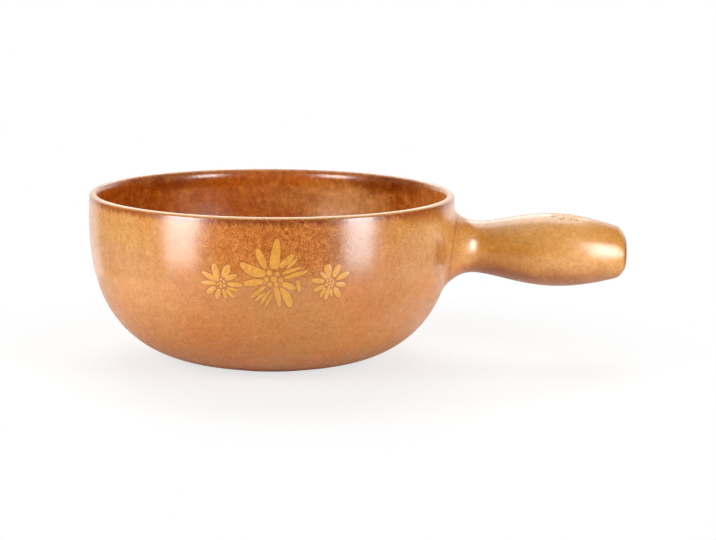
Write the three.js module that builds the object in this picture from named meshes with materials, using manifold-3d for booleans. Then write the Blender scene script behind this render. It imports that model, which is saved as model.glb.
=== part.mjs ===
// Fondue pot (caquelon) of glazed stoneware: a round bowl, a hollow barrel handle luted to its wall
// with slip, three sprigged flowers on the front wall and one on top of the handle.
// Millimetres, +Z up. Origin at the centre of the flat base, handle along +X, flowers towards -Y.
import * as THREE from 'three';
import { mergeVertices } from 'three/addons/utils/BufferGeometryUtils.js';
import Module from 'manifold-3d';

const wasm = await Module();
wasm.setup();

// Bowl
const rimDiameter = 220;
const potHeight = 102.2;
const baseDiameter = 84;
const baseEdge = 2;
const straightRimBand = 11.5;
const wallThickness = 4.8;
const floorThickness = 7.5;
const lipThickness = 5.4;
const lipInsideDepth = 7;
// Towards the lip the wall draws in, from this far below the rim
const rimLean = 0.25;
const leanDepth = 18;
// Belly curve: the diameter it starts from, and how full it is at the side and at the foot
const heartDiameter = 45;
const sideFullness = 0.77;
const footFullness = 0.788;
// Foot of the bead inside the lip, as a share of the straight rim band
const beadFoot = 0.18;

// Handle, measured along its axis from the bowl's wall
const handleLength = 104.1;
const rimToHandle = 32;
const handleDroop = THREE.MathUtils.degToRad(1.75);
const neckAt = 12;
const neckDiameter = 30.9;
const neckRun = 11.5;
const bellyAt = 60;
const bellyDiameter = 44.4;
const bellyRunToNeck = 19.7;
const bellyRunToEnd = 12.7;
const endDiameter = 32.6;
const endRounding = 7.5;
const endRun = 12;
const endTaper = 3.4;
const endDome = 4.9;
// The end face leans back by this slope at its top, over the last stretch of the handle
const endLean = 0.036;
const endLeanRun = 34;
const handleWall = 4.6;
const mouthDiameter = 10;
const mouthRoll = 2.2;
const throatLength = 5;

// Slip joint between wall and handle: its spread past the neck, its depth and its clearance
const jointSpread = 8;
const jointFillet = 3.2;
const jointDepth = 1.5;
const jointClearance = 0.3;
// The root swells at both sides, on top and below, fading out along the neck
const shoulderSwell = 5;
const shoulderReach = 9;
const topSwell = 1.1;
const topReach = 10.5;
const bottomSwell = 4;
const bottomReach = 5;
// Pulls of the curves at root, end and mouth, as shares of the stretch that they bend
const rootPull = 0.42;
const endPull = 0.2;
const endDip = 0.12;
const mouthPull = 0.45;

// Flowers: heading from the front in degrees, distances below the rim, and the relief of their petals
const flowerHeading = 2.3;
const flowerDrop = 35.3;
const sideFlowerDrop = 38.5;
const flowerGap = 0.6;
const flowerPastBelly = 6;
const petalRelief = 0.5;
const upperPetalRelief = 0.75;
const petalClearance = 0.3;
const heartRelief = 1;
const floretRelief = 1.55;
const largeReach = 25;
const smallReach = 12;
// Petal outline: root and pulls as shares of its reach, fullness at the pulls as shares of its breadth
const petalRoot = 0.05;
const petalLowPull = 0.25;
const petalHighPull = 0.72;
const petalLowFullness = 0.5;
const petalHighFullness = 0.82;
// Shoulder of the heart and the florets, as a share of their radius and relief
const buttonShoulder = 0.6;

// Each petal: turn from upright in degrees, reach and breadth as shares of the flower's reach
const largeFlower = {
  reach: largeReach,
  heart: 0.18,
  floret: 0.128,
  florets: 6,
  petals: [
    [4, 1, 0.28], [36, 0.7, 0.22], [50, 0.64, 0.18], [65, 0.62, 0.18], [77, 0.76, 0.18],
    [101, 0.51, 0.18], [119, 0.62, 0.18], [153, 0.74, 0.26], [171, 0.66, 0.19], [193, 0.64, 0.18],
    [210, 0.7, 0.2], [232, 0.68, 0.19], [260, 0.7, 0.2], [296, 0.84, 0.27], [329, 0.8, 0.23],
  ],
};
const smallFlower = {
  reach: smallReach,
  heart: 0.25,
  floret: 0.18,
  florets: 5,
  petals: [
    [-12, 0.95, 0.33], [28, 1, 0.33], [62, 0.92, 0.3], [92, 1, 0.32], [121, 0.83, 0.3], [150, 0.83, 0.3],
    [178, 0.73, 0.28], [208, 0.82, 0.3], [238, 0.8, 0.3], [268, 0.97, 0.32], [303, 0.98, 0.33],
  ],
};

const rimRadius = rimDiameter / 2;
const bellyHeight = potHeight - straightRimBand;
const handleHeight = potHeight - rimToHandle;
const quarterTurn = Math.PI / 2;
const at = (x, y) => new THREE.Vector2(x, y);
const sweep = (a, b, c, d) => new THREE.CubicBezierCurve(at(...a), at(...b), at(...c), at(...d));
// Points of a curve without its first one, so that curves can be strung together
const along = (curve, steps) => curve.getPoints(steps).slice(1);

const part = new THREE.Group();
part.name = 'fondue_pot';

function addPiece(name, geometry, color, roughness) {
  const mesh = new THREE.Mesh(geometry, new THREE.MeshStandardMaterial({ color, roughness, metalness: 0 }));
  mesh.name = name;
  part.add(mesh);
}

// Belly curve: radius and rise at a turn from 0 (foot) to a quarter (side)
const bellyRadiusAt = (turn, radius) => {
  const start = heartDiameter / 2;
  return start + (radius - start) * Math.sin(turn) ** sideFullness;
};
const bellyRiseAt = (turn) => 1 - Math.cos(turn) ** footFullness;

// How far the wall has drawn in at a height
function leanAt(z) {
  const above = Math.max(0, z - (potHeight - leanDepth)) / leanDepth;
  return rimLean * above ** 2;
}

// Radius of the bowl's outer wall at a height
function wallRadius(z) {
  const share = THREE.MathUtils.clamp(z / bellyHeight, 0, 1);
  return bellyRadiusAt(Math.acos((1 - share) ** (1 / footFullness)), rimRadius) - leanAt(z);
}

// Bowl: flat base, belly, rounded lip, bead, inside wall and floor, turned about Z
function bowlGeometry(segments) {
  const baseRadius = baseDiameter / 2;
  const footShare = (baseRadius + baseEdge - heartDiameter / 2) / (rimRadius - heartDiameter / 2);
  const footTurn = Math.asin(footShare ** (1 / sideFullness));
  const points = [at(0, 0), at(baseRadius, 0)];
  const wallSteps = 15;
  for (let i = 0; i <= wallSteps; i += 1) {
    const turn = THREE.MathUtils.lerp(footTurn, quarterTurn, i / wallSteps);
    points.push(at(bellyRadiusAt(turn, rimRadius), bellyHeight * bellyRiseAt(turn)));
  }
  // The lip is round outside and falls more slowly inside
  const lipRadius = lipThickness / 2;
  const lipSteps = 4;
  for (let i = 0; i <= 2 * lipSteps; i += 1) {
    const turn = quarterTurn * (i / lipSteps);
    const depth = i <= lipSteps ? lipRadius : lipInsideDepth;
    points.push(at(
      rimRadius - lipRadius + lipRadius * Math.cos(turn),
      potHeight - depth + depth * Math.sin(turn),
    ));
  }
  points.push(at(rimRadius - wallThickness, bellyHeight + straightRimBand * beadFoot));
  const insideSteps = 12;
  for (let i = 0; i <= insideSteps; i += 1) {
    const turn = THREE.MathUtils.lerp(quarterTurn, footTurn, i / insideSteps);
    points.push(at(
      bellyRadiusAt(turn, rimRadius - wallThickness),
      floorThickness + (bellyHeight - floorThickness) * bellyRiseAt(turn),
    ));
  }
  points.push(at(0, points[points.length - 1].y));
  const leaning = points.map((point) => at(Math.max(0, point.x - leanAt(point.y)), point.y));
  return new THREE.LatheGeometry(leaning, segments).rotateX(quarterTurn);
}

// Handle outline as (distance from the wall, radius): flared root, neck, belly, rounded end, mouth
const neckRadius = neckDiameter / 2;
const bellyRadius = bellyDiameter / 2;
const endRadius = endDiameter / 2;
const mouthRadius = mouthDiameter / 2;
const lipCrest = mouthRadius + mouthRoll;
const endAt = handleLength - endRounding;
const rootAt = jointDepth + jointClearance;
const flare = sweep(
  [0, neckRadius + jointSpread],
  [0, neckRadius + jointFillet],
  [neckAt * rootPull, neckRadius],
  [neckAt, neckRadius],
);
const swellFrom = (neck, belly) => sweep(
  [neckAt, neck],
  [neckAt + neckRun, neck],
  [bellyAt - bellyRunToNeck, belly],
  [bellyAt, belly],
);
const neckToBelly = swellFrom(neckRadius, bellyRadius);
const bellyToEnd = sweep(
  [bellyAt, bellyRadius],
  [bellyAt + bellyRunToEnd, bellyRadius],
  [endAt - endRun, endRadius + endTaper],
  [endAt, endRadius],
);
const endToCrest = sweep(
  [endAt, endRadius],
  [endAt + endRounding * endPull, endRadius - endTaper * endDip],
  [handleLength, lipCrest + endDome],
  [handleLength, lipCrest],
);
const crestToMouth = sweep(
  [handleLength, lipCrest],
  [handleLength, mouthRadius + mouthRoll * mouthPull],
  [handleLength - mouthRoll * mouthPull, mouthRadius],
  [handleLength - mouthRoll, mouthRadius],
);

// How much wider the handle's outer skin is near its root; the bore stays round
function rootSwell(distance, sideways, upwards) {
  const radius = Math.hypot(sideways, upwards);
  const boreToSkin = handleWall / 2;
  const skin = THREE.MathUtils.clamp((radius - neckRadius + boreToSkin) / boreToSkin, 0, 1);
  const beside = shoulderSwell * (sideways / radius) ** 2 * Math.exp(-((distance / shoulderReach) ** 2));
  const topShare = (1 + upwards / radius) / 2;
  const above = topSwell * topShare * Math.exp(-((distance / topReach) ** 2));
  const below = bottomSwell * (1 - topShare) ** 2 * Math.exp(-((distance / bottomReach) ** 2));
  return 1 + skin * (beside + above + below) / radius;
}

// Sets a point of the handle into the pot. Near the root its distance is taken from the curved wall.
function setHandlePoint(distance, bareSideways, bareUpwards) {
  const swell = rootSwell(distance, bareSideways, bareUpwards);
  const sideways = bareSideways * swell;
  const upwards = bareUpwards * swell;
  const z = handleHeight - distance * Math.sin(handleDroop) + upwards * Math.cos(handleDroop);
  const nearEnd = THREE.MathUtils.smoothstep(distance, handleLength - endLeanRun, handleLength);
  const raised = upwards * (Math.sin(handleDroop) - endLean * nearEnd);
  const free = rimRadius + distance * Math.cos(handleDroop) + raised;
  const hugging = Math.sqrt(wallRadius(z) ** 2 - sideways ** 2) + distance;
  const x = THREE.MathUtils.lerp(hugging, free, THREE.MathUtils.smoothstep(distance, rootAt, neckAt));
  return new THREE.Vector3(x, sideways, z);
}

// A closed outline (distance, radius) turned about the handle's axis and set into the pot
function turnedOnHandle(outline, segments) {
  const closed = [...outline, outline[0]].map((point) => at(point.y, point.x));
  const geometry = new THREE.LatheGeometry(closed, segments);
  const position = geometry.getAttribute('position');
  for (let i = 0; i < position.count; i += 1) {
    const set = setHandlePoint(position.getY(i), position.getZ(i), position.getX(i));
    position.setXYZ(i, set.x, set.y, set.z);
  }
  return geometry;
}

// Radius of an outline curve at a distance from the wall
function radiusOn(points, distance) {
  const last = points.length - 1;
  const next = Math.max(1, points.findIndex((point, i) => point.x >= distance || i === last));
  const from = points[next - 1];
  const to = points[next];
  return from.y + (to.y - from.y) * (distance - from.x) / (to.x - from.x);
}

// Stretch of the root flare between two distances from the wall, closer set near the wall
function flareBetween(from, to, steps) {
  const fine = flare.getPoints(200);
  const points = [];
  for (let i = 0; i <= steps; i += 1) {
    const distance = from + (to - from) * (i / steps) ** 1.6;
    points.push(at(distance, radiusOn(fine, distance)));
  }
  return points;
}

function handleGeometry(segments) {
  const boreRadius = neckRadius - handleWall;
  const hollowRadius = bellyRadius - handleWall;
  const throatAt = handleLength - mouthRoll - throatLength;
  const throatToBelly = sweep(
    [throatAt, mouthRadius],
    [throatAt - handleWall, hollowRadius],
    [bellyAt + bellyRunToEnd, hollowRadius],
    [bellyAt, hollowRadius],
  );
  return turnedOnHandle([
    ...flareBetween(rootAt, neckAt, 6),
    ...along(neckToBelly, 7),
    ...along(bellyToEnd, 6),
    ...along(endToCrest, 5),
    ...along(crestToMouth, 3),
    at(throatAt, mouthRadius),
    ...along(throatToBelly, 5),
    ...swellFrom(boreRadius, hollowRadius).getPoints(5).reverse().slice(1),
    at((neckAt + rootAt) / 2, boreRadius),
    at(rootAt, boreRadius),
  ], segments);
}

// Slip joint: the fillet ring that closes the corner between wall and handle root
function slipJointGeometry(segments) {
  const boreRadius = neckRadius - handleWall;
  return turnedOnHandle([
    at(jointClearance, boreRadius),
    at(jointClearance, (boreRadius + neckRadius + jointSpread) / 2),
    ...flareBetween(jointClearance, jointDepth, 4),
    at(jointDepth, boreRadius),
  ], segments);
}

// Closed geometry as a solid for joining, and back
function toSolid(geometry) {
  const bare = geometry.clone();
  bare.deleteAttribute('normal');
  bare.deleteAttribute('uv');
  const merged = mergeVertices(bare, 1e-4);
  return new wasm.Manifold(new wasm.Mesh({
    numProp: 3,
    vertProperties: new Float32Array(merged.getAttribute('position').array),
    triVerts: new Uint32Array(merged.index.array),
  }));
}

function toGeometry(solid) {
  const mesh = solid.getMesh();
  const geometry = new THREE.BufferGeometry();
  geometry.setAttribute('position', new THREE.BufferAttribute(new Float32Array(mesh.vertProperties), 3));
  geometry.setIndex(new THREE.BufferAttribute(new Uint32Array(mesh.triVerts), 1));
  return geometry;
}

// One flat petal that points up from the flower's centre
function petalGeometry(reach, breadth, relief) {
  const root = reach * petalRoot;
  const low = reach * petalLowPull;
  const high = reach * petalHighPull;
  const lowSide = breadth * petalLowFullness;
  const highSide = breadth * petalHighFullness;
  const shape = new THREE.Shape();
  shape.moveTo(0, root);
  shape.bezierCurveTo(lowSide, low, highSide, high, 0, reach);
  shape.bezierCurveTo(-highSide, high, -lowSide, low, 0, root);
  return new THREE.ExtrudeGeometry(shape, { depth: relief, bevelEnabled: false, curveSegments: 5 });
}

// A flat-topped button for the flower's heart and its florets
function buttonGeometry(radius, relief, segments) {
  return new THREE.LatheGeometry([
    at(0, 0),
    at(radius, 0),
    at(radius, relief * buttonShoulder),
    at(radius * buttonShoulder, relief),
    at(0, relief),
  ], segments).rotateX(quarterTurn);
}

// One flat flower: petals in two heights joined on a round heart, with florets on top
function flowerSolid({ reach, heart, floret, florets, petals }) {
  let flower = toSolid(buttonGeometry(reach * heart, heartRelief, 16));
  petals.forEach(([turn, petalReach, petalBreadth], i) => {
    const relief = i % 2 === 0 ? upperPetalRelief : petalRelief;
    const petal = petalGeometry(reach * petalReach, reach * petalBreadth, relief);
    flower = flower.add(toSolid(petal.rotateZ(-THREE.MathUtils.degToRad(turn))));
  });
  const floretSize = reach * floret;
  for (let i = 0; i <= florets; i += 1) {
    const spread = i === 0 ? 0 : floretSize;
    const turn = 2 * Math.PI * (i / florets);
    const bead = buttonGeometry(floretSize / 2, floretRelief, 8);
    bead.translate(spread * Math.sin(turn), spread * Math.cos(turn), 0);
    flower = flower.add(toSolid(bead));
  }
  return flower;
}

// Lays a flat flower on a surface: place takes across and up in its plane, and out from the surface
function layFlower(flower, place) {
  const geometry = toGeometry(flowerSolid(flower));
  const position = geometry.getAttribute('position');
  for (let i = 0; i < position.count; i += 1) {
    const set = place(position.getX(i), position.getY(i), position.getZ(i) + petalClearance);
    position.setXYZ(i, set.x, set.y, set.z);
  }
  return geometry;
}

// On the bowl's wall, at an arc from the flowers' heading
function onWall(arc, drop) {
  const height = potHeight - drop;
  const radiusThere = wallRadius(height);
  const steepness = (z) => Math.atan2(0.1, wallRadius(z + 0.05) - wallRadius(z - 0.05));
  const upright = Math.sin(steepness(height));
  return (across, up, out) => {
    const z = height + up * upright;
    const lean = steepness(z);
    const radius = wallRadius(z) + out * Math.sin(lean);
    const angle = THREE.MathUtils.degToRad(flowerHeading) + (arc + across) / radiusThere;
    return new THREE.Vector3(radius * Math.sin(angle), -radius * Math.cos(angle), z - out * Math.cos(lean));
  };
}

// On top of the handle, at a distance from the wall
function onHandle(distance) {
  const barrel = [...neckToBelly.getPoints(40), ...along(bellyToEnd, 40)];
  return (across, up, out) => {
    const radius = radiusOn(barrel, distance + across);
    const angle = up / radius;
    const lifted = radius + out;
    return setHandlePoint(distance + across, lifted * Math.sin(angle), lifted * Math.cos(angle));
  };
}

// How far a flower's petals reach sideways
function sideReach({ reach, petals }) {
  const sideways = petals.map(([turn, share]) => Math.abs(share * Math.sin(THREE.MathUtils.degToRad(turn))));
  return reach * Math.max(...sideways);
}

addPiece('bowl', bowlGeometry(72), 0xa9682f, 0.25);
addPiece('handle', handleGeometry(40), 0xb4773a, 0.25);
addPiece('slip_joint', slipJointGeometry(40), 0x96561f, 0.3);

const addFlower = (name, flower, place) => addPiece(name, layFlower(flower, place), 0xd9b062, 0.45);
const flowerArc = sideReach(largeFlower) + sideReach(smallFlower) + flowerGap;
addFlower('flower_centre', largeFlower, onWall(0, flowerDrop));
addFlower('flower_left', smallFlower, onWall(-flowerArc, sideFlowerDrop));
addFlower('flower_right', smallFlower, onWall(flowerArc, sideFlowerDrop));
addFlower('flower_handle', smallFlower, onHandle(bellyAt + flowerPastBelly));

export default part;
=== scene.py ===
import math
import bpy
import numpy as np
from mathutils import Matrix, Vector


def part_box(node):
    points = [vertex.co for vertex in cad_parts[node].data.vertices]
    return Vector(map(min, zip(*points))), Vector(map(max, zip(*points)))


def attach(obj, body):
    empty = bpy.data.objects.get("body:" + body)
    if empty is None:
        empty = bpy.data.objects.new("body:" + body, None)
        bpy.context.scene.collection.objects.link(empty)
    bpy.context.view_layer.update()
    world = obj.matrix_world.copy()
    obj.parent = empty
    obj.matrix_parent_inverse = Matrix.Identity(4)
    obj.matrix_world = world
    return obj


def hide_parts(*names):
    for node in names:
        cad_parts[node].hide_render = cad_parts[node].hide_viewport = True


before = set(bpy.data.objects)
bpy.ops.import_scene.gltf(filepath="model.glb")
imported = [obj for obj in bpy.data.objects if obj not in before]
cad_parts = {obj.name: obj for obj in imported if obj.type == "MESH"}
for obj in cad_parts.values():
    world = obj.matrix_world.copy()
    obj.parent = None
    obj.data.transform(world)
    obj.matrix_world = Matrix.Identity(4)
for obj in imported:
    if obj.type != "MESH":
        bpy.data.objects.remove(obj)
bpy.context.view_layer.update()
mm = 0.001
perMetre = 1000
scene = bpy.context.scene
scene.view_settings.view_transform = "Standard"


# Camera: the photograph's long lens, a little above the rim and very slightly rolled
cameraSet = {
    "place": (0.0522, -1.7922, 0.3491),
    "pitchDown": 9.325,
    "roll": 0.53,
    "lens": 150.93,
    "sensor": 36,
    "farLimit": 20,
}

cameraData = bpy.data.cameras.new("camera")
cameraData.lens = cameraSet["lens"]
cameraData.sensor_width = cameraSet["sensor"]
cameraData.clip_end = cameraSet["farLimit"]
camera = bpy.data.objects.new("camera", cameraData)
camera.location = cameraSet["place"]
camera.rotation_mode = "ZYX"
camera.rotation_euler = (math.radians(90 - cameraSet["pitchDown"]), 0, math.radians(cameraSet["roll"]))
scene.collection.objects.link(camera)
scene.camera = camera
print("camera set")


# Small helpers for modelling
weldDistance = 0.01 * mm


def deselectAll():
    if bpy.context.object and bpy.context.object.mode != "OBJECT":
        bpy.ops.object.mode_set(mode="OBJECT")
    bpy.ops.object.select_all(action="DESELECT")


def nameNew(name):
    piece = bpy.context.object
    piece.name = name
    piece.data.name = name
    return piece


def closeAndSmooth():
    bpy.ops.object.mode_set(mode="EDIT")
    bpy.ops.mesh.select_all(action="SELECT")
    bpy.ops.mesh.remove_doubles(threshold=weldDistance)
    bpy.ops.mesh.normals_make_consistent(inside=False)
    bpy.ops.object.mode_set(mode="OBJECT")
    bpy.ops.object.shade_smooth()


def evenly(start, end, steps):
    # even steps from a start, which is left out, to an end
    return [start + (end - start) * i / steps for i in range(1, steps + 1)]


def bezier(start, startPull, endPull, end, steps):
    # points of a curve after its start; the pulls are offsets from its two ends
    pulled = (start[0] + startPull[0], start[1] + startPull[1])
    held = (end[0] + endPull[0], end[1] + endPull[1])
    points = []
    for i in range(1, steps + 1):
        t = i / steps
        weights = ((1 - t) ** 3, 3 * t * (1 - t) ** 2, 3 * t * t * (1 - t), t ** 3)
        corners = (start, pulled, held, end)
        points.append(tuple(sum(w * c[k] for w, c in zip(weights, corners)) for k in (0, 1)))
    return points


def raiseRings(name, profile, segments, closing):
    # a circle is extruded ring by ring along a profile of (radius, height) in millimetres,
    # and closed at its two poles or into a loop
    deselectAll()
    fill = "TRIFAN" if closing == "poles" else "NOTHING"
    radius, height = profile[0]
    bpy.ops.mesh.primitive_circle_add(
        vertices=segments, radius=radius * mm, fill_type=fill, location=(0, 0, height * mm))
    piece = nameNew(name)
    bpy.ops.object.transform_apply(location=True, rotation=False, scale=False)
    bpy.ops.object.mode_set(mode="EDIT")
    bpy.ops.mesh.select_all(action="SELECT")
    if closing == "poles":
        bpy.ops.mesh.select_mode(type="EDGE")
        bpy.ops.mesh.region_to_loop()
    for nextRadius, nextHeight in profile[1:]:
        bpy.ops.mesh.extrude_edges_move(
            TRANSFORM_OT_translate={"value": (0, 0, (nextHeight - height) * mm)})
        widen = nextRadius / radius
        bpy.ops.transform.resize(value=(widen, widen, 1), center_override=(0, 0, nextHeight * mm))
        radius, height = nextRadius, nextHeight
    if closing == "poles":
        bpy.ops.mesh.merge(type="CENTER")
    else:
        bpy.ops.mesh.select_all(action="DESELECT")
        bpy.ops.mesh.select_non_manifold()
        bpy.ops.mesh.bridge_edge_loops()
    closeAndSmooth()
    return piece


def readPoints(piece):
    # all points of a piece as one array, in millimetres
    points = np.zeros(len(piece.data.vertices) * 3, np.float32)
    piece.data.vertices.foreach_get("co", points)
    return points.reshape(-1, 3) / mm


def moveVertices(piece, place):
    moved = place(readPoints(piece)) * mm
    piece.data.vertices.foreach_set("co", moved.astype(np.float32).ravel())
    piece.data.update()


def markVertices(piece, name, values):
    mark = piece.data.attributes.new(name, "FLOAT", "POINT")
    mark.data.foreach_set("value", values.astype(np.float32))


def smoothShare(value, start, end):
    t = np.clip((value - start) / (end - start), 0, 1)
    return t * t * (3 - 2 * t)


def finishPiece(piece, node, material):
    piece.data.materials.clear()
    piece.data.materials.append(material)
    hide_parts(node)
    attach(piece, "root")


# Bowl: shape of the belly, the lip and the inside, in millimetres
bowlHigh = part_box("bowl")[1]
bowlSet = {
    "rimRadius": 110,
    "height": bowlHigh.z / mm,
    "rimBand": 11.5,
    "baseRadius": 42,
    "baseEdge": 2,
    "baseCrease": 1,
    "flatRings": (3, 14, 28),
    "footPull": 0.7,
    "footLean": 0.8,
    "footDrop": 0.4,
    "wall": 4.8,
    "floor": 7.5,
    "lip": 5.4,
    "lipOutside": 2,
    "lipInside": 5.2,
    "beadPull": 1.8,
    "rimLean": 0.25,
    "leanDepth": 18,
    "heartRadius": 22.5,
    "sideFullness": 0.77,
    "footFullness": 0.788,
    "insideFullness": 0.86,
    "segments": 192,
    "steps": {"foot": 4, "belly": 56, "band": 6, "lip": 32, "bead": 10, "inside": 44},
    # the glaze of the inside begins this far behind the outer face and is full at the second depth
    "insideFrom": 1.2,
    "insideFull": 4,
    "insideAbove": 1,
}
bellyHeight = bowlSet["height"] - bowlSet["rimBand"]


def bellyCurve(turn, radius, floor, fullness):
    start = bowlSet["heartRadius"]
    across = start + (radius - start) * math.sin(turn) ** bowlSet["sideFullness"]
    rise = 1 - max(0.0, math.cos(turn)) ** fullness
    return across, floor + (bellyHeight - floor) * rise


def rimLean(z):
    # the wall draws in a little towards the lip
    above = np.maximum(z - bowlSet["height"] + bowlSet["leanDepth"], 0) / bowlSet["leanDepth"]
    return bowlSet["rimLean"] * above ** 2


def wallRadius(z):
    # outer radius of the bowl at a height
    share = np.clip(z / bellyHeight, 0, 1)
    turn = np.arccos((1 - share) ** (1 / bowlSet["footFullness"]))
    start = bowlSet["heartRadius"]
    return start + (bowlSet["rimRadius"] - start) * np.sin(turn) ** bowlSet["sideFullness"] - rimLean(z)


def bowlProfile():
    s, steps, upright = bowlSet, bowlSet["steps"], math.pi / 2
    rim, top, lip, base = s["rimRadius"], s["height"], s["lip"], s["baseRadius"]
    inner, shoulder = rim - s["wall"], top - s["lipOutside"]
    footShare = (base + s["baseEdge"] - s["heartRadius"]) / (rim - s["heartRadius"])
    footTurn = math.asin(footShare ** (1 / s["sideFullness"]))
    points = [(radius, 0) for radius in (*s["flatRings"], base - s["baseCrease"], base)]
    foot = bellyCurve(footTurn, rim, 0, s["footFullness"])
    footHold = (-s["footLean"], -s["footDrop"] * foot[1])
    points += bezier((base, 0), (s["footPull"], 0), footHold, foot, steps["foot"])
    for turn in evenly(footTurn, upright, steps["belly"]):
        points.append(bellyCurve(turn, rim, 0, s["footFullness"]))
    points += [(rim, height) for height in evenly(bellyHeight, shoulder, steps["band"])]
    for turn in evenly(0, math.pi, steps["lip"]):
        # the lip is rounded outside and falls more slowly inside
        depth = s["lipOutside"] if turn <= upright else s["lipInside"]
        points.append((rim - lip / 2 + lip / 2 * math.cos(turn), top - depth + depth * math.sin(turn)))
    points += bezier(points[-1], (0, -s["beadPull"]), (0, s["beadPull"]), (inner, bellyHeight), steps["bead"])
    for turn in evenly(upright, footTurn, steps["inside"]):
        points.append(bellyCurve(turn, inner, s["floor"], s["insideFullness"]))
    floorLevel = points[-1][1]
    points += [(radius, floorLevel) for radius in reversed(s["flatRings"])]
    return [(radius - float(rimLean(height)), height) for radius, height in points]


def insideShare(points):
    # how far a point lies on the inner side of the wall, for the glaze
    x, y, z = points.T
    depth = wallRadius(z) - np.hypot(x, y)
    share = (depth - bowlSet["insideFrom"]) / (bowlSet["insideFull"] - bowlSet["insideFrom"])
    return np.clip(share, 0, 1) * (z > bowlSet["insideAbove"])


bowl = raiseRings("glazed_bowl", bowlProfile(), bowlSet["segments"], "poles")
markVertices(bowl, "inside", insideShare(readPoints(bowl)))
print("bowl:", len(bowl.data.polygons), "faces")


# Handle: outline as (distance from the wall, radius), turned about its drooping axis; pulls shape its curves
handleSet = {
    "length": 104,
    "belowRim": 32,
    "droop": 1.64,
    "neckAt": 12,
    "neckRadius": 15.45,
    "neckPull": 11.5,
    "bellyAt": 60,
    "bellyRadius": 21.95,
    "bellyPullIn": 19.7,
    "bellyPullOut": 12.7,
    "endRadius": 15.8,
    "endPull": (-13.4, 3.8),
    "endRounding": 6,
    "endPulls": ((2.6, -0.74), (-0.5, 3.1)),
    "endTilt": 0.022,
    "endTiltFrom": 70,
    "endBreadth": 0.14,
    "endBreadthFrom": 50,
    "planRounding": 3.2,
    "planDrop": 0.9,
    "planPulls": ((1.9, -0.65), (0, 7.4)),
    "mouthRadius": 5,
    "mouthRoll": 2.2,
    "mouthPulls": ((0, -1.1), (1.4, 0)),
    "mouthBlend": 3,
    "throat": 5,
    "wall": 4.6,
    "skinBlend": 2,
    "hollowPull": 13,
    "boreRing": 7,
    "segments": 128,
    "steps": {"root": 28, "toBelly": 36, "toEnd": 30, "end": 24, "mouth": 12, "throat": 3, "hollow": 16},
    "rootCrowding": 1.6,
}
# sizes of the slip joint, which the handle's root shares
jointSet = {
    "spread": 8,
    "fillet": 3.2,
    "flarePull": 0.58,
    "flareSteps": 160,
    "seamAt": 1.7,
    "seamWidth": 0.5,
    # each crease: distance from the wall, depth and width
    "creases": [(1.7, 0.32, 0.45), (0.5, 0.2, 0.35)],
    "sunk": 0.25,
    "lap": 1.2,
    "lapEdge": (-0.1, 0.5),
    "steps": 24,
    "crowding": 1.7,
    "shoulder": 5,
    "shoulderReach": 9,
    "topFillet": 1.1,
    "topReach": 10.5,
    "bottomFillet": 4,
    "bottomReach": 5,
}
handleHeight = bowlSet["height"] - handleSet["belowRim"]
handleEnd = (handleSet["length"] - handleSet["endRounding"], handleSet["endRadius"])
handleCrest = (handleSet["length"], handleSet["mouthRadius"] + handleSet["mouthRoll"])


def endBreadth(distance):
    return handleSet["endBreadth"] * smoothShare(distance, handleSet["endBreadthFrom"], handleSet["length"])


def sideEnd():
    # the rounded end seen from the side
    return [handleEnd] + bezier(handleEnd, *handleSet["endPulls"], handleCrest, handleSet["steps"]["end"])


def planEnd():
    # the same end seen from above
    start = (handleEnd[0], handleEnd[1] * (1 + float(endBreadth(handleEnd[0]))))
    edge = (handleSet["length"] - handleSet["planRounding"], start[1] - handleSet["planDrop"])
    return [start, edge] + bezier(edge, *handleSet["planPulls"], handleCrest, handleSet["steps"]["end"])


def setOnHandle(points):
    # points hold upwards, sideways and distance; near the root the distance counts from the curved wall
    upwards, sideways, distance = points[:, 0], -points[:, 1], points[:, 2]
    radius = np.hypot(upwards, sideways)

    def near(reach):
        return np.exp(-(distance / reach) ** 2)

    # the outer skin widens towards the wall at the sides, above and below
    skinFrom = handleSet["neckRadius"] - handleSet["wall"] / 2
    skin = np.clip((radius - skinFrom) / handleSet["skinBlend"], 0, 1)
    topShare = (1 + upwards / radius) / 2
    wider = (sideways / radius) ** 2 * jointSet["shoulder"] * near(jointSet["shoulderReach"])
    wider += topShare * jointSet["topFillet"] * near(jointSet["topReach"])
    wider += (1 - topShare) ** 2 * jointSet["bottomFillet"] * near(jointSet["bottomReach"])
    upwards = upwards * (1 + skin * wider / radius)
    sideways = sideways * (1 + skin * wider / radius)

    # the end is a little broader than tall, and squarer seen from above
    (sideAt, sideRadius), (planAt, planRadius) = np.array(sideEnd()).T, np.array(planEnd()).T
    squarer = np.interp(distance, planAt, planRadius) / np.interp(distance, sideAt, sideRadius) - 1
    broader = np.where(distance < sideAt[0], endBreadth(distance), squarer)
    clearOfMouth = np.clip((radius - handleCrest[1]) / handleSet["mouthBlend"], 0, 1)
    sideways = sideways * (1 + broader * clearOfMouth)

    droop = math.radians(handleSet["droop"])
    z = handleHeight - distance * math.sin(droop) + upwards * math.cos(droop)
    free = bowlSet["rimRadius"] + distance * math.cos(droop) + upwards * math.sin(droop)
    tilted = smoothShare(distance, handleSet["endTiltFrom"], handleSet["length"])
    free -= handleSet["endTilt"] * upwards * tilted
    hugging = np.sqrt(wallRadius(z) ** 2 - sideways ** 2) + distance
    loose = smoothShare(distance, jointSet["seamAt"], handleSet["neckAt"])
    return np.stack([hugging + (free - hugging) * loose, sideways, z], axis=1)


def rootFlare():
    neck, at, spread = handleSet["neckRadius"], handleSet["neckAt"], jointSet["spread"]
    wallEnd, pulls = (0, neck + spread), ((0, jointSet["fillet"] - spread), (-jointSet["flarePull"] * at, 0))
    fine = [wallEnd] + bezier(wallEnd, *pulls, (at, neck), jointSet["flareSteps"])
    return np.array(fine).T


flareDistances, flareRadii = rootFlare()


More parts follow.
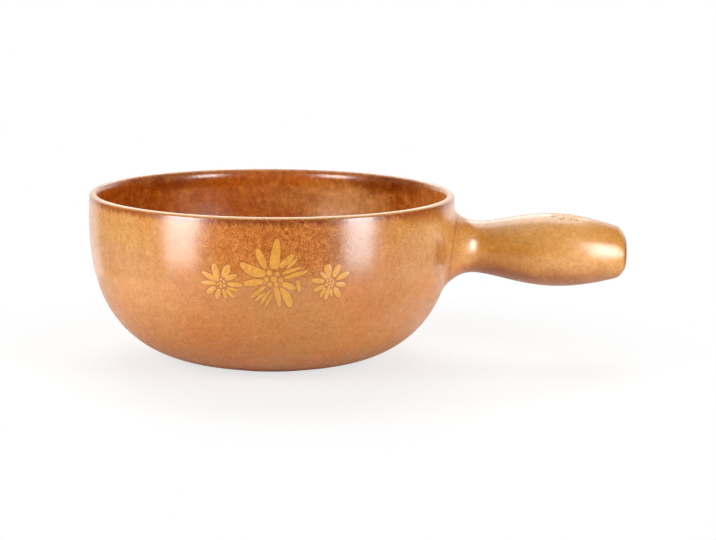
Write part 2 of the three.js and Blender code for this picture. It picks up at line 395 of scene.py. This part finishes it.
def flareRadius(distance):
    radius = float(np.interp(distance, flareDistances, flareRadii))
    for at, depth, width in jointSet["creases"]:
        radius -= depth * math.exp(-((distance - at) / width) ** 2)
    return radius


def handleSide():
    # the side of the handle from the neck over the belly to where the end rounds off
    s, steps = handleSet, handleSet["steps"]
    neck, belly = (s["neckAt"], s["neckRadius"]), (s["bellyAt"], s["bellyRadius"])
    side = bezier(neck, (s["neckPull"], 0), (-s["bellyPullIn"], 0), belly, steps["toBelly"])
    side += bezier(belly, (s["bellyPullOut"], 0), s["endPull"], handleEnd, steps["toEnd"])
    return side


def handleOutline():
    s, steps, seam = handleSet, handleSet["steps"], jointSet["seamAt"]
    outline = []
    for i in range(steps["root"] + 1):
        distance = seam + (s["neckAt"] - seam) * (i / steps["root"]) ** s["rootCrowding"]
        outline.append((distance, flareRadius(distance)))
    outline += handleSide()
    outline += sideEnd()[1:]
    # in through the mouth and back along the hollow
    mouth = (s["length"] - s["mouthRoll"], s["mouthRadius"])
    outline += bezier(handleCrest, *s["mouthPulls"], mouth, steps["mouth"])
    throat = (mouth[0] - s["throat"], mouth[1])
    outline += [(distance, mouth[1]) for distance in evenly(mouth[0], throat[0], steps["throat"])]
    hollow = (s["bellyAt"], s["bellyRadius"] - s["wall"])
    bore = (s["neckAt"], s["neckRadius"] - s["wall"])
    throatPull = (-s["wall"], hollow[1] - throat[1])
    outline += bezier(throat, throatPull, (s["hollowPull"], 0), hollow, steps["hollow"])
    outline += bezier(hollow, (-s["bellyPullIn"], 0), (s["neckPull"], 0), bore, steps["hollow"])
    outline += [(s["boreRing"], bore[1]), (seam, bore[1])]
    return outline


def swapped(outline):
    return [(radius, distance) for distance, radius in outline]


def markSeam(piece):
    # glaze pools dark in the crease between slip and handle
    distance = readPoints(piece)[:, 2]
    markVertices(piece, "seam", np.exp(-((distance - jointSet["seamAt"]) / jointSet["seamWidth"]) ** 2))


handle = raiseRings("glazed_handle", swapped(handleOutline()), handleSet["segments"], "loop")
markSeam(handle)
moveVertices(handle, setOnHandle)
print("handle:", len(handle.data.polygons), "faces")


# Slip joint: fillet between wall and handle root, feathered into the wall
def jointOutline():
    seam, bore = jointSet["seamAt"], handleSet["neckRadius"] - handleSet["wall"]
    outer = handleSet["neckRadius"] + jointSet["spread"]
    edgeAt, edgeOut = jointSet["lapEdge"]
    back = -jointSet["sunk"]
    outline = [(back, bore), (back, outer + jointSet["lap"]), (edgeAt, outer + edgeOut)]
    for i in range(1, jointSet["steps"] + 1):
        distance = seam * (i / jointSet["steps"]) ** jointSet["crowding"]
        outline.append((distance, flareRadius(distance)))
    outline.append((seam, bore))
    return outline


slipJoint = raiseRings("glazed_slip_joint", swapped(jointOutline()), handleSet["segments"], "loop")
markSeam(slipJoint)
moveVertices(slipJoint, setOnHandle)
print("slip joint:", len(slipJoint.data.polygons), "faces")


# Flowers: flat leaf-shaped petals and round florets, pressed on the wall and on the handle
flowerSet = {
    "heading": 2.3,
    "belowRim": 35.3,
    "sideBelowRim": 38.5,
    "leftArc": 30.4,
    "rightArc": 32.5,
    "handleAt": 66,
    "relief": 0.16,
    "skirt": 0.5,
    "slope": 0.7,
    "lift": 0.03,
    "underside": 0.05,
    "sunk": 0.4,
    "petalPower": 0.33,
    "floretPower": 0.5,
    "segments": 32,
    "rings": 24,
    "smoothAngle": 50,
}
# each petal: root and tip from the flower's middle and its breadth, then its sideways bend and
# where it is broadest; each floret: place and radius
largeFlower = {
    "petals": [
        ((0, 6.2), (2, 23.7), 6, 0, 0.27), ((-4.6, 6.2), (-9.7, 17.9), 4.4),
        ((-4.8, 3), (-18.9, 9), 6, -1.3, 0.45), ((-5.7, -1), (-17.4, -3.2), 4.2),
        ((-4.5, -4.1), (-13.5, -11.2), 2.8), ((-4.9, -7.7), (-10.9, -13.5), 2.1),
        ((-2, -6.4), (-8.2, -15.7), 2.2), ((-0.6, -8.8), (-5.2, -16.7), 2.3),
        ((1.3, -4.8), (3.6, -16.9), 3.6, 0, 0.4), ((3.9, -4.9), (10, -16.9), 5, -0.8, 0.62),
        ((4.7, -2.3), (12.5, -5.8), 4), ((13.4, -0.5), (15, -8), 2.6),
        ((5.7, 0.5), (19.4, 4.7), 2.9), ((4.5, 3.2), (15.4, 6.8), 2.4),
        ((3.4, 6.9), (11.3, 14.4), 4.1, 0, 0.45), ((7.4, 6.4), (13.4, 12.4), 2.3),
    ],
    "florets": [
        (0, 0, 2), (-2.6, 3.8, 1.8), (2, 3.1, 1.5), (3.9, -0.4, 1.6), (-4, -0.1, 1.6), (-2.1, -3.1, 1.5),
        (1.4, -2.9, 1.5),
    ],
}
leftFlower = {
    "petals": [
        ((-1.9, 3), (-3.9, 11.1), 4.5), ((1.4, 3.5), (5, 11.1), 4.5), ((2.8, 2.3), (9.4, 5.6), 3.2),
        ((3.9, -0.2), (12.6, -0.6), 3.3), ((3.7, -2.5), (10.1, -4.3), 2.2), ((2.8, -3.3), (7.1, -8.2), 2.8),
        ((0.9, -3.5), (3, -9.4), 2.6), ((-1, -3.4), (-3.2, -9.6), 3.4), ((-3.1, -2.3), (-8.8, -6.5), 3.5),
        ((-2.8, -0.1), (-11.5, -0.2), 3), ((-2.5, 1.7), (-11, 5.9), 3.5),
    ],
    "florets": [
        (0, 0, 1.05), (-1.8, 2, 1), (0.1, 2.4, 1), (1.9, 1, 1), (1.8, -1.2, 1), (-0.1, -2.1, 1),
        (-1.7, -0.5, 0.95),
    ],
}
rightFlower = {
    "petals": [
        ((-0.5, 2.8), (-2.1, 11.3), 4.8, 0, 0.68), ((1.9, 3.6), (5.3, 10.9), 4),
        ((3.6, 2.2), (11.8, 5.8), 3.7), ((3.6, -0.6), (9.9, -1.6), 3.4), ((2.9, -2.7), (6.7, -8.9), 3.7),
        ((0.9, -3), (1.4, -8.1), 2), ((-0.6, -2.7), (-2.2, -10.2), 2.9), ((-2.8, -2.4), (-5.3, -8), 2.5),
        ((-2.8, -1.2), (-10, -4.1), 2.9), ((-3.6, 1.2), (-10.8, 2.4), 3.6), ((-2, 2.5), (-6.1, 7.1), 2.5),
    ],
    "florets": [
        (0, 0, 1.05), (-1.6, 1.6, 1), (0.3, 2.2, 1), (1.9, 0.6, 1), (1.4, -1.5, 1), (-0.4, -2.1, 1),
        (-2, -0.5, 1),
    ],
}


def addPetal(name, root, tip, breadth, bend=0, broadest=0.5, power=flowerSet["petalPower"]):
    # a ball drawn out along Z into a flat-topped leaf, with a low skirt where the glaze runs out round it
    f = flowerSet
    deselectAll()
    bpy.ops.mesh.primitive_uv_sphere_add(segments=f["segments"], ring_count=f["rings"], radius=mm)
    petal = nameNew(name)
    run = (tip[0] - root[0], tip[1] - root[1])
    length = math.hypot(*run)
    bias = math.log(0.5) / math.log(broadest)
    x, y, z = readPoints(petal).T
    ring = np.maximum(np.hypot(x, y), 1e-6)
    along = (z + 1) / 2 * (length + 2 * f["skirt"]) - f["skirt"]
    share = np.clip(along / length, 0, 1)
    leaf = np.maximum(np.sin(np.pi * share ** bias), 0) ** power
    overrun = np.clip(np.maximum(-along, along - length) / f["skirt"], 0, 1)
    across = x / ring * (leaf * breadth / 2 + f["skirt"] * np.sqrt(1 - overrun ** 2))
    inward = leaf * breadth / 2 - np.abs(across)
    top = f["lift"] + f["relief"] * smoothShare(inward, 0, f["slope"])
    upper = -y / ring
    bottom = -f["underside"] - f["sunk"] * np.sqrt(np.abs(np.minimum(upper, 0)))
    out = np.where(upper > 0.01, top, bottom)  # the very edge goes with the underside
    markVertices(petal, "crown", np.clip(0.5 + inward / (2 * f["skirt"]), 0, 1))
    across = across + bend * np.sin(np.pi * share)
    placed = np.stack([
        root[0] + (run[0] * along + run[1] * across) / length,
        root[1] + (run[1] * along - run[0] * across) / length,
        out,
    ], axis=1)
    moveVertices(petal, lambda points: placed)
    return petal


def addFlower(name, flower, place):
    parts = [addPetal(name + "_petal", *petal) for petal in flower["petals"]]
    for across, up, radius in flower["florets"]:
        ends = (across, up - radius), (across, up + radius)
        parts.append(addPetal(name + "_floret", *ends, 2 * radius, power=flowerSet["floretPower"]))
    deselectAll()
    for item in parts:
        item.select_set(True)
    bpy.context.view_layer.objects.active = parts[0]
    bpy.ops.object.join()
    piece = nameNew(name)
    moveVertices(piece, place)
    closeAndSmooth()
    bpy.ops.object.shade_smooth_by_angle(angle=math.radians(flowerSet["smoothAngle"]))
    print(name + ":", len(flower["petals"]), "petals")
    return piece


def onWall(arc, belowRim):
    height = bowlSet["height"] - belowRim
    radiusThere = wallRadius(height)
    probe = 0.05

    def steepness(z):
        return np.arctan2(2 * probe, wallRadius(z + probe) - wallRadius(z - probe))

    def place(points):
        across, up, out = points.T
        z = height + up * math.sin(steepness(height))
        lean = steepness(z)
        radius = wallRadius(z) + out * np.sin(lean)
        angle = math.radians(flowerSet["heading"]) + (arc + across) / radiusThere
        return np.stack([radius * np.sin(angle), -radius * np.cos(angle), z - out * np.cos(lean)], axis=1)

    return place


def onHandle(distance):
    distances, radii = np.array(handleSide()).T

    def place(points):
        along = distance + points[:, 0]
        radius = np.interp(along, distances, radii)
        angle = points[:, 1] / radius
        lifted = radius + points[:, 2]
        return setOnHandle(np.stack([lifted * np.cos(angle), -lifted * np.sin(angle), along], axis=1))

    return place


sideDrop = flowerSet["sideBelowRim"]
flowers = {
    "flower_centre": addFlower("relief_flower_centre", largeFlower, onWall(0, flowerSet["belowRim"])),
    "flower_left": addFlower("relief_flower_left", leftFlower, onWall(-flowerSet["leftArc"], sideDrop)),
    "flower_right": addFlower("relief_flower_right", rightFlower, onWall(flowerSet["rightArc"], sideDrop)),
    "flower_handle": addFlower("relief_flower_handle", leftFlower, onHandle(flowerSet["handleAt"])),
}


# Materials
def hexColor(text):
    channels = [int(text[i:i + 2], 16) / 255 for i in (1, 3, 5)]
    linear = [c / 12.92 if c <= 0.04045 else ((c + 0.055) / 1.055) ** 2.4 for c in channels]
    return (*linear, 1)


def addNode(tree, kind, settings=None, **links):
    # settings name the node's own options; links name sockets, or count them as at0, at1 and so on,
    # and take a value or another node's output
    node = tree.nodes.new(kind)
    for key, value in (settings or {}).items():
        setattr(node, key, value)
    for socketName, value in links.items():
        counted = socketName.startswith("at") and socketName[2:].isdigit()
        socket = node.inputs[int(socketName[2:]) if counted else socketName.replace("_", " ")]
        if isinstance(value, bpy.types.NodeSocket):
            tree.links.new(value, socket)
        else:
            socket.default_value = value
    return node


# options that many nodes share; Mix counts its numbers as at2 and at3 and its colours as at6 and at7
minus, times = {"operation": "SUBTRACT"}, {"operation": "MULTIPLY"}
timesPlus, lengthOf = {"operation": "MULTIPLY_ADD"}, {"operation": "LENGTH"}
smooth, colours = {"interpolation_type": "SMOOTHSTEP"}, {"data_type": "RGBA"}


def span(ends, unit=1):
    # the two ends of a fade as Map Range takes them
    return {"From_Min": ends[0] * unit, "From_Max": ends[1] * unit}


def startMaterial(name):
    material = bpy.data.materials.new(name)
    material.use_nodes = True
    tree = material.node_tree
    tree.nodes.clear()
    return material, tree


# Amber stoneware glaze: dipped and fired, honey where it is thick, rust where it runs thin
# over the rim, with fine iron grain through it and a smooth wet gloss; the pressed flowers lie under
# the same glaze, which shows straw over their pale slip and pools dark round them
# the lip's crest and several patches below also carry painted highlight, painted reflection and painted shade
glazeSet = {
    "amber": "#CC7829",
    "tan": "#C68138",
    "honey": "#CA9150",
    "peach": "#CA8E60",
    "ginger": "#C46C22",
    "gold": "#C47F1E",
    "sand": "#DCA05A",
    "paintedReflectionRose": "#D29A76",
    "rust": "#964600",
    "umber": "#5E2C12",
    "caramel": "#A2580A",
    "chestnut": "#964A06",
    "insideDeep": "#C86C0C",
    "insideTan": "#F0AC58",
    "insideRust": "#B65A06",
    "ochre": "#C88030",
    "bareClay": "#C29A78",
    "straw": "#E29A2C",
    "pooled": "#8E4A12",
    # sizes of the patterns and how far they push a patch or the rim about, in millimetres
    "cloudSize": 45,
    "driftSize": 40,
    "drift": 12,
    "mottleSize": 4,
    "speckSize": 1.9,
    "runSize": (1.8, 1.8, 3.5),
    "runReach": 7,
    "rippleHeight": 0.1,
    # gloss
    "roughness": 0.235,
    "mottleRoughness": (-0.03, 0.04),
    "petalRoughness": 0.4,
    "bareRoughness": 0.8,
    "handleSatin": 0.07,
    "ior": 1.9,
    "ripple": 0.35,
    # strengths
    "speck": 0.5,
    "seamDark": 0.3,
    "endDark": 0.7,
    "rustAtLeft": 0.85,
    "crestHighlightAtLeft": 0.3,
    "poolOnBowl": 0.7,
    # where tones fade in: from none to full, along X, Y or Z in millimetres
    "fades": {
        "rustX": (-100, -30),
        "rustZ": (99.8, 103.6),
        "belowCrestZ": (101.7, 100.5),
        "crestHighlightX": (-100, -20),
        "crestHighlightZ": (100.7, 101.8),
        "rearY": (0, 60),
        "endX": (211.5, 212.8),
        "poolX": (130, 150),
        "bareZ": (0.8, 0.3),
        "satinX": (112, 125),
        "satinZ": (84, 76),
    },
    # where noises and marks fade in, on their own scale
    "patchEdge": (1.15, 0.3),
    "cloudEdge": (0.38, 0.66),
    "petalEdge": (0.5, 0.75),
    "poolEdge": (0.05, 0.4),
    "speckEdge": (0.3, 0.16),
    "mottleEdge": (0.3, 0.7),
    # where the grain and the specks are strongest: centre and half-size in millimetres
    "speckled": ((16, -108, 90), (75, 55, 30)),
    # grain: size along each axis, then its strength outside, in the speckled zone and inside
    "grains": [
        ((0.9, 0.9, 0.9), 0.22, 0.47, 0.28),
        ((2.6, 2.6, 2.6), 0.12, 0.27, 0.26),
        ((7, 7, 7), 0.08, 0.08, 0.28),
        ((60, 60, 5), 0.04, 0.04, 0.03),
    ],
    "petalGrain": 0.15,
    "eyeGamma": 2.2,
    # soft patches: colour, side of the wall (0 out, 1 in), strength, centre and half-size in millimetres;
    # some, marked below, are painted shade, painted light and painted reflection
    "patches": [
        ("honey", 0, 0.9, (-92, -60, 78), (48, 60, 32)),
        ("peach", 0, 0.7, (-92, -60, 70), (48, 60, 13)),
        ("ginger", 0, 0.8, (14, -108, 92), (60, 40, 24)),
        ("caramel", 0, 0.3, (72, -80, 50), (40, 40, 26)),
        # painted shade: darkens the wall under the right soft box's highlight, where that box lights it
        # strongly
        ("caramel", 0, 0.65, (52, -95, 86), (17, 30, 26)),
        # painted shade on the bowl's left flank, which the left soft box lights strongly
        ("caramel", 0, 0.6, (-110, -6, 82), (12, 40, 30)),
        ("honey", 0, 1.0, (98, -50, 80), (30, 46, 24)),
        ("peach", 0, 0.5, (86, -64, 75), (36, 46, 16)),
        ("peach", 0, 0.4, (84, -60, 38), (34, 46, 16)),
        ("gold", 0, 1.0, (172, 0, 70), (78, 60, 60)),
        ("sand", 0, 0.6, (186, -22, 65), (38, 24, 18)),
        ("sand", 0, 0.75, (170, -14, 87), (60, 24, 15)),
        # partly the glaze's own darker brown and partly painted shade: the undersides of the handle and of
        # its neck are darkened
        ("chestnut", 0, 0.8, (164, -8, 46), (80, 40, 18)),
        ("chestnut", 0, 1.0, (134, -10, 53), (26, 26, 16)),
        ("caramel", 0, 0.3, (-52, -66, 24), (60, 60, 30)),
        ("sand", 0, 0.7, (117, -20, 73), (10, 12, 15)),
        # painted reflection: a darker patch on the wall beside the joint stands for the handle's root
        # reflected there
        ("caramel", 0, 0.6, (100, -40, 73), (7.5, 14, 12)),
        ("caramel", 0, 0.9, (92, -62, 98), (24, 40, 10)),
        # partly the glaze's own lighter tan and partly painted light with the hazy reflection of the left
        # soft box on the inner back wall
        ("insideTan", 1, 0.95, (46, 95, 80), (38, 40, 22)),
        ("insideRust", 1, 0.8, (-98, 30, 85), (40, 80, 40)),
        ("insideTan", 1, 0.36, (98, 30, 85), (40, 60, 40)),
        ("ochre", 1, 0.7, (8, 100, 82), (26, 30, 8)),
        ("rust", 1, 0.75, (-62, 85, 98), (36, 40, 8)),
        ("rust", 1, 0.9, (72, 78, 98), (38, 42, 8)),
    ],
}


def amberGlaze(name, overFlowers):
    material, tree = startMaterial(name)
    g, fades = glazeSet, glazeSet["fades"]
    output = addNode(tree, "ShaderNodeOutputMaterial")
    place = addNode(tree, "ShaderNodeTexCoord").outputs["Object"]
    parts = addNode(tree, "ShaderNodeSeparateXYZ", Vector=place)
    x, y, z = (parts.outputs[axis] for axis in "XYZ")
    inside = addNode(tree, "ShaderNodeAttribute", {"attribute_name": "inside"}).outputs["Fac"]
    outside = addNode(tree, "ShaderNodeMath", minus, at0=1.0, at1=inside).outputs[0]

    # patches are drawn on coordinates that a slow noise pushes about, so that no edge is clean
    sway = addNode(tree, "ShaderNodeTexNoise", Vector=place, Scale=perMetre / g["driftSize"], Detail=3.0)
    push = addNode(tree, "ShaderNodeVectorMath", minus, at0=sway.outputs["Color"], at1=(0.5, 0.5, 0.5))
    push = addNode(tree, "ShaderNodeVectorMath", {"operation": "SCALE"}, at0=push.outputs[0],
                   Scale=g["drift"] * mm * 2)
    drifted = addNode(tree, "ShaderNodeVectorMath", at0=place, at1=push.outputs[0]).outputs[0]

    def patchMask(centre, size, strength, side):
        # soft ellipsoid round a centre, on one side of the wall
        scale = [1 / (v * mm) for v in size]
        local = addNode(tree, "ShaderNodeMapping", Vector=drifted, Scale=scale,
                        Location=[-c * mm * k for c, k in zip(centre, scale)])
        reach = addNode(tree, "ShaderNodeVectorMath", lengthOf, at0=local.outputs[0])
        soft = addNode(tree, "ShaderNodeMapRange", smooth, Value=reach.outputs["Value"],
                       **span(g["patchEdge"]), To_Max=strength)
        return addNode(tree, "ShaderNodeMath", times, at0=soft.outputs[0], at1=side).outputs[0]

    clouds = addNode(tree, "ShaderNodeTexNoise", Vector=drifted, Scale=perMetre / g["cloudSize"], Detail=4.0,
                     Roughness=0.55)
    clouds = addNode(tree, "ShaderNodeMapRange", Value=clouds.outputs["Fac"], **span(g["cloudEdge"]))
    layers = [("tan", clouds.outputs[0]), ("insideDeep", inside)]
    for colourName, side, strength, centre, size in g["patches"]:
        layers.append((colourName, patchMask(centre, size, strength, inside if side else outside)))

    # rim: rust below the lip, ragged downwards and weaker at the left; a painted highlight of pale sand along
    # the crest, weaker at the left, with a painted rose-tinted reflection on its back half
    runs = addNode(tree, "ShaderNodeMapping", Vector=place, Scale=[perMetre / v for v in g["runSize"]])
    runs = addNode(tree, "ShaderNodeTexNoise", Vector=runs.outputs[0], Scale=1.0, Detail=3.0)
    ragged = addNode(tree, "ShaderNodeMath", timesPlus, at0=runs.outputs["Fac"], at1=g["runReach"] * mm,
                     at2=z)
    full = addNode(tree, "ShaderNodeMapRange", Value=x, **span(fades["rustX"], mm), To_Min=g["rustAtLeft"])
    rim = addNode(tree, "ShaderNodeMapRange", smooth, Value=ragged.outputs[0], **span(fades["rustZ"], mm),
                  To_Max=full.outputs[0])
    below = addNode(tree, "ShaderNodeMapRange", smooth, Value=z, **span(fades["belowCrestZ"], mm))
    rim = addNode(tree, "ShaderNodeMath", times, at0=rim.outputs[0], at1=below.outputs[0])
    rim = addNode(tree, "ShaderNodeMath", times, at0=rim.outputs[0], at1=outside)
    # painted highlight: the lip's crest is lightened towards sand, and at the back a painted rose-tinted
    # reflection is laid over it
    bright = addNode(tree, "ShaderNodeMapRange", Value=x, **span(fades["crestHighlightX"], mm), To_Min=g["crestHighlightAtLeft"])
    pale = addNode(tree, "ShaderNodeMapRange", smooth, Value=z, **span(fades["crestHighlightZ"], mm),
                   To_Max=bright.outputs[0])
    rear = addNode(tree, "ShaderNodeMapRange", Value=y, **span(fades["rearY"], mm))
    paintedBackReflection = addNode(tree, "ShaderNodeMath", times, at0=pale.outputs[0], at1=rear.outputs[0])
    layers += [("rust", rim.outputs[0]), ("sand", pale.outputs[0]), ("paintedReflectionRose", paintedBackReflection.outputs[0])]

    # dark glaze in the crease of the handle's joint and round its blunt end
    seam = addNode(tree, "ShaderNodeAttribute", {"attribute_name": "seam"})
    seam = addNode(tree, "ShaderNodeMath", times, at0=seam.outputs["Fac"], at1=g["seamDark"])
    end = addNode(tree, "ShaderNodeMapRange", Value=x, **span(fades["endX"], mm), To_Max=g["endDark"])
    layers += [("umber", seam.outputs[0]), ("umber", end.outputs[0])]

    # straw petals and the dark pool round them, which is deepest on the handle
    crown = addNode(tree, "ShaderNodeAttribute", {"attribute_name": "crown"}).outputs["Fac"]
    petal = addNode(tree, "ShaderNodeMapRange", Value=crown, **span(g["petalEdge"]))
    if overFlowers:
        deep = addNode(tree, "ShaderNodeMapRange", Value=x, **span(fades["poolX"], mm),
                       To_Min=g["poolOnBowl"])
        pool = addNode(tree, "ShaderNodeMapRange", Value=crown, **span(g["poolEdge"]), To_Max=deep.outputs[0])
        layers += [("pooled", pool.outputs[0]), ("straw", petal.outputs[0])]

    # iron specks, each as dark as chance has it
    speckled = patchMask(*g["speckled"], g["petalGrain"] if overFlowers else 1.0, outside)
    specks = addNode(tree, "ShaderNodeTexVoronoi", Vector=place, Scale=perMetre / g["speckSize"])
    dot = addNode(tree, "ShaderNodeMapRange", Value=specks.outputs["Distance"], **span(g["speckEdge"]),
                  To_Max=g["speck"])
    chance = addNode(tree, "ShaderNodeSeparateColor", Color=specks.outputs["Color"]).outputs[0]
    dot = addNode(tree, "ShaderNodeMath", times, at0=dot.outputs[0], at1=chance)
    dot = addNode(tree, "ShaderNodeMath", times, at0=dot.outputs[0], at1=speckled)
    layers.append(("umber", dot.outputs[0]))

    # the standing face is wiped clean before firing and stays bare and matt
    bare = addNode(tree, "ShaderNodeMapRange", Value=z, **span(fades["bareZ"], mm))
    layers.append(("bareClay", bare.outputs[0]))

    colour = hexColor(g["amber"])
    for colourName, mask in layers:
        mixed = addNode(tree, "ShaderNodeMix", colours, at0=mask, at6=colour, at7=hexColor(g[colourName]))
        colour = mixed.outputs[2]

    # grain: noises of several sizes lighten and darken the glaze, in even steps for the eye
    shade = 0.0
    for size, plain, strong, within in g["grains"]:
        local = addNode(tree, "ShaderNodeMapping", Vector=place, Scale=[perMetre / v for v in size])
        grain = addNode(tree, "ShaderNodeTexNoise", Vector=local.outputs[0], Scale=1.0, Detail=1.0)
        centred = addNode(tree, "ShaderNodeMath", minus, at0=grain.outputs["Fac"], at1=0.5)
        amount = addNode(tree, "ShaderNodeMix", at0=speckled, at2=plain, at3=strong)
        amount = addNode(tree, "ShaderNodeMix", at0=inside, at2=amount.outputs[0], at3=within)
        shade = addNode(tree, "ShaderNodeMath", timesPlus, at0=centred.outputs[0], at1=amount.outputs[0],
                        at2=shade).outputs[0]
    eyeScale = addNode(tree, "ShaderNodeGamma", Color=colour, Gamma=1 / g["eyeGamma"])
    shaded = addNode(tree, "ShaderNodeVectorMath", at0=eyeScale.outputs[0], at1=shade)
    shaded = addNode(tree, "ShaderNodeVectorMath", {"operation": "MAXIMUM"}, at0=shaded.outputs[0],
                     at1=(0, 0, 0))
    colour = addNode(tree, "ShaderNodeGamma", Color=shaded.outputs[0], Gamma=g["eyeGamma"]).outputs[0]

    # gloss: mottled, duller on the petals and on the handle's side, matt where the clay is bare
    mottle = addNode(tree, "ShaderNodeTexNoise", Vector=place, Scale=perMetre / g["mottleSize"], Detail=3.0,
                     Roughness=0.6)
    gloss = addNode(tree, "ShaderNodeMix", at0=petal.outputs[0], at2=g["roughness"], at3=g["petalRoughness"])
    smoothest, dullest = g["mottleRoughness"]
    sheen = addNode(tree, "ShaderNodeMapRange", Value=mottle.outputs["Fac"], **span(g["mottleEdge"]),
                    To_Min=smoothest, To_Max=dullest)
    sheen = addNode(tree, "ShaderNodeMath", at0=sheen.outputs[0], at1=gloss.outputs[0])
    satin = addNode(tree, "ShaderNodeMapRange", Value=x, **span(fades["satinX"], mm), To_Max=g["handleSatin"])
    flank = addNode(tree, "ShaderNodeMapRange", Value=z, **span(fades["satinZ"], mm))
    satin = addNode(tree, "ShaderNodeMath", times, at0=satin.outputs[0], at1=flank.outputs[0])
    sheen = addNode(tree, "ShaderNodeMath", at0=sheen.outputs[0], at1=satin.outputs[0])
    rough = addNode(tree, "ShaderNodeMix", at0=bare.outputs[0], at2=sheen.outputs[0], at3=g["bareRoughness"])
    ripple = addNode(tree, "ShaderNodeBump", Strength=g["ripple"], Distance=g["rippleHeight"] * mm,
                     Height=mottle.outputs["Fac"])
    shader = addNode(tree, "ShaderNodeBsdfPrincipled", Base_Color=colour, Roughness=rough.outputs[0],
                     IOR=g["ior"], Normal=ripple.outputs[0])
    tree.links.new(shader.outputs["BSDF"], output.inputs["Surface"])
    return material


glaze = amberGlaze("amber stoneware glaze", False)
petalGlaze = amberGlaze("straw glaze over pressed slip", True)
finishPiece(bowl, "bowl", glaze)
finishPiece(handle, "handle", glaze)
finishPiece(slipJoint, "slip_joint", glaze)
for node, piece in flowers.items():
    finishPiece(piece, node, petalGlaze)
print("materials set")


# Floor: a round pale table top that runs out into the white background; the pot's gloss sees it
# a little greyer in front
floorSet = {
    "middle": (0.03, 0, 0),
    "radius": 0.27,
    "segments": 96,
    "fade": (0.15, 0.2619),
    "glow": 0.72,
    "colour": "#F4F3F1",
    "mirrored": "#D8D7D5",
    "mirroredFade": (0.16, 0.06),
}


def floorMaterial():
    material, tree = startMaterial("matt white table top")
    output = addNode(tree, "ShaderNodeOutputMaterial")
    place = addNode(tree, "ShaderNodeTexCoord").outputs["Object"]
    distance = addNode(tree, "ShaderNodeVectorMath", lengthOf, at0=place)
    fade = addNode(tree, "ShaderNodeMapRange", smooth, Value=distance.outputs["Value"],
                   **span(floorSet["fade"]), To_Min=floorSet["glow"])
    ray = addNode(tree, "ShaderNodeLightPath").outputs
    parts = addNode(tree, "ShaderNodeSeparateXYZ", Vector=place)
    near = addNode(tree, "ShaderNodeMapRange", Value=parts.outputs["Y"], **span(floorSet["mirroredFade"]))
    dim = addNode(tree, "ShaderNodeMath", times, at0=near.outputs[0], at1=ray["Is Glossy Ray"])
    glow = addNode(tree, "ShaderNodeMath", times, at0=fade.outputs[0], at1=ray["Is Camera Ray"])
    tone = addNode(tree, "ShaderNodeMix", colours, at0=dim.outputs[0], at6=hexColor(floorSet["colour"]),
                   at7=hexColor(floorSet["mirrored"]))
    matt = addNode(tree, "ShaderNodeBsdfDiffuse", Color=tone.outputs[2])
    white = addNode(tree, "ShaderNodeEmission", Strength=1.0)
    mix = addNode(tree, "ShaderNodeMixShader", Fac=glow.outputs[0], at1=matt.outputs["BSDF"],
                  at2=white.outputs["Emission"])
    tree.links.new(mix.outputs["Shader"], output.inputs["Surface"])
    return material


deselectAll()
bpy.ops.mesh.primitive_circle_add(
    vertices=floorSet["segments"], radius=floorSet["radius"], fill_type="NGON", location=floorSet["middle"])
tableTop = nameNew("table_top")
tableTop.data.materials.append(floorMaterial())


# Light: two upright soft boxes for the long highlights, each fading towards the table, one box high behind,
# one overhead, a pale backdrop and a dim room; glow is the brightness of a face, where 1 is paper white
lightSet = {
    "high": {"place": (-0.05, 0.77, 0.98), "width": 1.1, "tall": 1.2, "glow": 2.6},
    "overhead": {"place": (0, 0.03, 1.3), "width": 1.0, "tall": 0.52, "glow": 0.5},
    "backdrop": {"place": (0.03, 1.6, 0.3), "width": 3.4, "tall": 2.2, "glow": 1.1},
}
# each stretch of an upright box from top to bottom: place on the table, width, top, bottom, glow
uprightSet = {
    "left": [
        ((-0.293, -0.271), 0.152, 0.29, 0.061, 9.5),
        ((-0.302, -0.259), 0.133, 0.061, 0.035, 3.9),
        ((-0.302, -0.259), 0.133, 0.035, -0.009, 5.4),
        ((-0.302, -0.259), 0.133, -0.009, -0.035, 2.1),
        ((-0.302, -0.259), 0.133, -0.035, -0.075, 0.6),
    ],
    "right": [
        ((0.363, -0.289), 0.143, 0.31, 0.052, 10.3),
        ((0.363, -0.289), 0.143, 0.052, 0.022, 4.2),
        ((0.363, -0.289), 0.143, 0.022, -0.03, 6.2),
        ((0.363, -0.289), 0.143, -0.03, -0.06, 2.1),
        ((0.363, -0.289), 0.143, -0.06, -0.105, 0.6),
    ],
}
roomSet = {"aim": (0.03, 0, 0.06), "glow": 0.16}


def addSoftBox(name, place, width, tall, glow, aimHeight=roomSet["aim"][2]):
    data = bpy.data.lights.new(name, "AREA")
    data.shape = "RECTANGLE"
    data.size = width
    data.size_y = tall
    data.energy = glow * math.pi * width * tall
    box = bpy.data.objects.new(name, data)
    scene.collection.objects.link(box)
    box.location = place
    aim = (roomSet["aim"][0] - place[0], roomSet["aim"][1] - place[1], aimHeight - place[2])
    level = math.hypot(aim[0], aim[1])
    box.rotation_euler = (math.atan2(level, -aim[2]), 0, math.atan2(-aim[0], aim[1]))
    box.visible_camera = False


for name, box in lightSet.items():
    addSoftBox("soft_box_" + name, **box)
for name, stretches in uprightSet.items():
    for place, width, top, bottom, glow in stretches:
        middle = (top + bottom) / 2
        addSoftBox("soft_box_" + name, (*place, middle), width, top - bottom, glow, middle)

world = bpy.data.worlds.new("white_room")
scene.world = world
world.use_nodes = True
tree = world.node_tree
tree.nodes.clear()
output = addNode(tree, "ShaderNodeOutputWorld")
seen = addNode(tree, "ShaderNodeLightPath")
roomLight = addNode(tree, "ShaderNodeBackground", Color=(1, 1, 1, 1), Strength=roomSet["glow"])
seenWhite = addNode(tree, "ShaderNodeBackground", Color=(1, 1, 1, 1), Strength=1.0)
mix = addNode(tree, "ShaderNodeMixShader", Fac=seen.outputs["Is Camera Ray"],
              at1=roomLight.outputs["Background"], at2=seenWhite.outputs["Background"])
tree.links.new(mix.outputs["Shader"], output.inputs["Surface"])
print("stage and light set")
